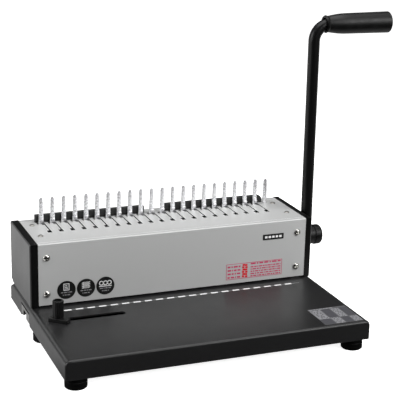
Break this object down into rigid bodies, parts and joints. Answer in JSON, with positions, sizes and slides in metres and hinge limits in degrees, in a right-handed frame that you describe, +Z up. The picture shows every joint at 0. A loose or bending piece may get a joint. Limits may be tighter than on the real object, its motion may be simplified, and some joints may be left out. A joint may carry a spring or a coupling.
{
  "type": "comb binding machine",
  "caption": "Manual lever comb binder: flat black base with paper stop, silver punching head with ring fingers and hooks, side lever with grip, chip tray.",
  "frame": {"origin": "on the table, under the middle of the overall box, grip included; the body's own mid-plane is 55.75 mm to the left of it", "axes": "+X to the operator's right along the machine, +Y to the back, +Z up"},
  "size_m": [0.4774, 0.261, 0.3662],
  "materials": {
    "black_powder_coat": "fine-textured satin black powder coat",
    "silver_coat": "satin metallic silver coat on sheet steel",
    "black_plastic": "fine-grained moulded black plastic",
    "grip_foam": "soft matt black grip sleeve",
    "foot_rubber": "matt black rubber",
    "chrome": "bright nickel-chrome plate",
    "screw_zinc": "bright zinc plate",
    "tool_steel": "ground tool steel",
    "mild_steel": "zinc-plated mild steel",
    "spring_steel": "drawn spring wire",
    "bronze": "sintered bronze",
    "white_print": "white screen print",
    "grey_print": "grey screen print",
    "black_label": "glossy black printed label",
    "red_label": "pale label printed in red",
    "grey_label": "printed grey film label"
  },
  "bodies": {
    "frame": {"base_pan": "black_powder_coat", "bottom_plate": "black_powder_coat", "rubber_feet": "foot_rubber", "foot_screws": "screw_zinc", "hole_marks": "white_print", "mark_line": "grey_print", "base_sticker": "grey_label", "left_side_frame": "black_powder_coat", "right_side_frame": "black_powder_coat", "left_bushing": "bronze", "right_bushing": "bronze", "frame_screws": "screw_zinc", "front_panel": "silver_coat", "top_plate": "silver_coat", "rear_cover": "silver_coat", "left_end_cap": "black_powder_coat", "right_end_cap": "black_powder_coat", "end_cap_screws": "screw_zinc", "front_panel_screws": "screw_zinc", "top_plate_screws": "screw_zinc", "rear_cover_screws": "screw_zinc", "spec_badges": "black_label", "name_plate": "black_label", "notice_plate": "red_label", "die_bar": "tool_steel", "paper_backstop": "mild_steel", "pin_guide_bar": "tool_steel", "guide_posts": "tool_steel", "return_springs": "spring_steel", "rack_rails": "mild_steel", "finger_bar": "mild_steel", "comb_fingers": "chrome", "comb_rest_left": "black_plastic", "comb_rest_right": "black_plastic"},
    "punch": {"punch_bar": "tool_steel", "punch_pins": "tool_steel", "follower_brackets": "mild_steel"},
    "lever": {"main_shaft": "tool_steel", "shaft_clip": "spring_steel", "drive_cams": "tool_steel", "rack_arms": "mild_steel", "arm_pins": "tool_steel", "lever_tube": "black_powder_coat", "lever_grip": "grip_foam", "lever_hub": "black_plastic", "hub_set_screw": "tool_steel", "hub_knob": "black_plastic", "hub_washer": "black_plastic"},
    "rack": {"hook_rack": "mild_steel", "rack_lugs": "mild_steel", "ring_hooks": "chrome"},
    "paper_stop": {"stop_plate": "black_plastic", "stop_nut": "mild_steel", "stop_screw": "screw_zinc"},
    "clamp_knob": {"stop_knob": "black_plastic"},
    "tray": {"chip_tray": "black_powder_coat", "tray_door": "mild_steel"}
  },
  "joints": [
    {"name": "lever_swing", "type": "hinge", "parent": "frame", "child": "lever", "pos_m": [-0.05575, 0.0629, 0.0795], "axis": [1, 0, 0], "range_deg": [0, 75], "stiffness_Nm_per_rad": 1.2, "springref_deg": -20.05},
    {"name": "punch_drop", "type": "slide", "parent": "frame", "child": "punch", "axis": [0, 0, -1], "range_m": [0, 0.008], "deforming": ["return_springs"]},
    {"name": "rack_slide", "type": "slide", "parent": "frame", "child": "rack", "axis": [0, -1, 0], "range_m": [0, 0.028]},
    {"name": "stop_slide", "type": "slide", "parent": "frame", "child": "paper_stop", "axis": [1, 0, 0], "range_m": [0, 0.076]},
    {"name": "stop_knob_turn", "type": "hinge", "parent": "paper_stop", "child": "clamp_knob", "pos_m": [-0.21615, -0.0161, 0.05], "axis": [0, 0, 1], "range_deg": [0, 270]},
    {"name": "tray_pull", "type": "slide", "parent": "frame", "child": "tray", "axis": [-1, 0, 0], "range_m": [0, 0.3]}
  ],
  "couplings": [
    {"joint": "punch_drop", "follows": "lever_swing", "m_per_rad": 0.0061054},
    {"joint": "rack_slide", "follows": "lever_swing", "m_per_rad": 0.021369}
  ]
}
